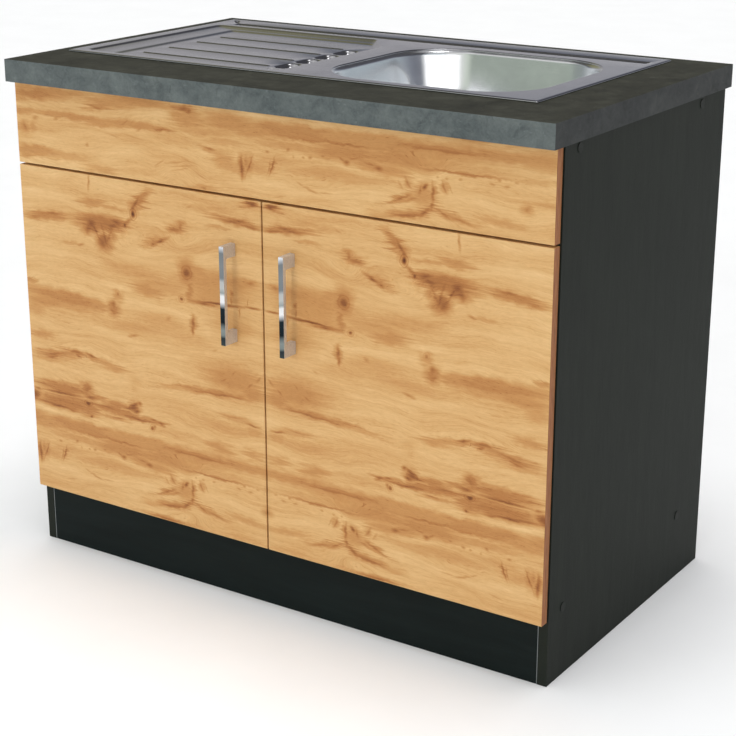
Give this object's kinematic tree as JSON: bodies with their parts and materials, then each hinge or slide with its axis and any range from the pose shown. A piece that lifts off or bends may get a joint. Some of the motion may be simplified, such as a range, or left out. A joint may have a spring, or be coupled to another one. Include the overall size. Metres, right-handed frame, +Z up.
{
  "type": "kitchen sink unit",
  "caption": "Kitchen base cabinet with a slate-look worktop, an inset steel sink and drainer, hinged wood-decor doors, bow handles and waste fittings.",
  "frame": {"origin": "on the floor, midway across the width and midway between the handles' front and the worktop's rear edge", "axes": "+Z up, +Y to the rear (the wall), the doors face -Y, +X to the right seen from the front"},
  "size_m": [1, 0.614, 0.853],
  "materials": {
    "oak_front": "satin melamine in a honey wild-oak decor with knots and streaks",
    "anthracite_board": "matt melamine in anthracite with a fine wood grain",
    "back_board": "thin lacquered fibreboard, light grey",
    "edge_strip": "light grey edging",
    "slate_worktop": "matt laminate in a mottled slate decor",
    "stainless": "pressed stainless sheet, satin on the flats and bright in the bowl",
    "chrome_trim": "polished chrome",
    "zinc_steel": "zinc plated steel",
    "nickel_hinge": "nickel plated steel pressings",
    "cap_plastic": "dark grey cover caps",
    "clear_bumper": "clear soft bumpers",
    "seal_rubber": "black foam and rubber",
    "white_plastic": "white polypropylene",
    "hose_plastic": "pale grey corrugated hose"
  },
  "bodies": {
    "cabinet": {"angle_brackets": "zinc_steel", "back_panel": "back_board", "back_panel_screws": "zinc_steel", "bottom_panel": "anthracite_board", "carcass_screws": "zinc_steel", "front_panel": "oak_front", "front_panel_screws": "zinc_steel", "front_rail": "anthracite_board", "hinge_arm_pins": "zinc_steel", "hinge_arms": "nickel_hinge", "hinge_plates": "nickel_hinge", "hinge_screws": "zinc_steel", "overflow_elbow": "white_plastic", "overflow_gasket": "seal_rubber", "overflow_hose": "hose_plastic", "overflow_plate": "stainless", "overflow_screw": "zinc_steel", "plinth_board": "anthracite_board", "plinth_edge_strips": "edge_strip", "rear_rail": "anthracite_board", "screw_cover_caps": "cap_plastic", "side_panel_left": "anthracite_board", "side_panel_right": "anthracite_board", "sink_bowl": "stainless", "sink_clamp_brackets": "stainless", "sink_clamp_feet": "zinc_steel", "sink_clamp_screws": "zinc_steel", "sink_deck": "stainless", "sink_seal": "seal_rubber", "strainer_flange": "stainless", "strainer_gasket": "seal_rubber", "trap_base_cap": "white_plastic", "trap_body": "white_plastic", "trap_inlet_nut": "white_plastic", "trap_inlet_tube": "white_plastic", "trap_outlet_nut": "white_plastic", "waste_body": "white_plastic", "waste_centre_screw": "zinc_steel", "waste_outlet_pipe": "white_plastic", "worktop": "slate_worktop", "worktop_screws": "zinc_steel"},
    "left_outer_links": {"hinge_outer_links_left": "nickel_hinge"},
    "left_door": {"door_left": "oak_front", "hinge_cups_left": "nickel_hinge", "hinge_cup_screws_left": "zinc_steel", "handle_left": "chrome_trim", "handle_screws_left": "zinc_steel", "door_bumpers_left": "clear_bumper"},
    "left_inner_links": {"hinge_inner_links_left": "nickel_hinge"},
    "right_outer_links": {"hinge_outer_links_right": "nickel_hinge"},
    "right_door": {"door_right": "oak_front", "hinge_cups_right": "nickel_hinge", "hinge_cup_screws_right": "zinc_steel", "handle_right": "chrome_trim", "handle_screws_right": "zinc_steel", "door_bumpers_right": "clear_bumper"},
    "right_inner_links": {"hinge_inner_links_right": "nickel_hinge"},
    "basket": {"strainer_basket": "stainless", "basket_knob": "zinc_steel", "basket_seal": "seal_rubber"}
  },
  "joints": [
    {"name": "left_outer_link_turn", "type": "hinge", "parent": "cabinet", "child": "left_outer_links", "pos_m": [-0.47586, -0.25005, 0.391], "axis": [0, 0, -1], "range_deg": [-39.9, 0]},
    {"name": "left_door_turn", "type": "hinge", "parent": "left_outer_links", "child": "left_door", "pos_m": [-0.488, -0.26534, 0.391], "axis": [0, 0, -1], "range_deg": [0, 134.85]},
    {"name": "left_inner_link_turn", "type": "hinge", "parent": "cabinet", "child": "left_inner_links", "pos_m": [-0.46423, -0.26298, 0.391], "axis": [0, 0, -1], "range_deg": [-44, 0]},
    {"name": "right_outer_link_turn", "type": "hinge", "parent": "cabinet", "child": "right_outer_links", "pos_m": [0.47586, -0.25005, 0.391], "axis": [0, 0, 1], "range_deg": [-39.9, 0]},
    {"name": "right_door_turn", "type": "hinge", "parent": "right_outer_links", "child": "right_door", "pos_m": [0.488, -0.26534, 0.391], "axis": [0, 0, 1], "range_deg": [0, 134.85]},
    {"name": "right_inner_link_turn", "type": "hinge", "parent": "cabinet", "child": "right_inner_links", "pos_m": [0.46423, -0.26298, 0.391], "axis": [0, 0, 1], "range_deg": [-44, 0]},
    {"name": "basket_lift", "type": "slide", "parent": "cabinet", "child": "basket", "axis": [0, 0, 1], "range_m": [0, 0.08]}
  ],
  "couplings": [
    {"joint": "left_outer_link_turn", "follows": "left_door_turn", "ratio": -0.29553},
    {"joint": "left_inner_link_turn", "follows": "left_door_turn", "ratio": -0.3261},
    {"joint": "right_outer_link_turn", "follows": "right_door_turn", "ratio": -0.29553},
    {"joint": "right_inner_link_turn", "follows": "right_door_turn", "ratio": -0.3261}
  ]
}
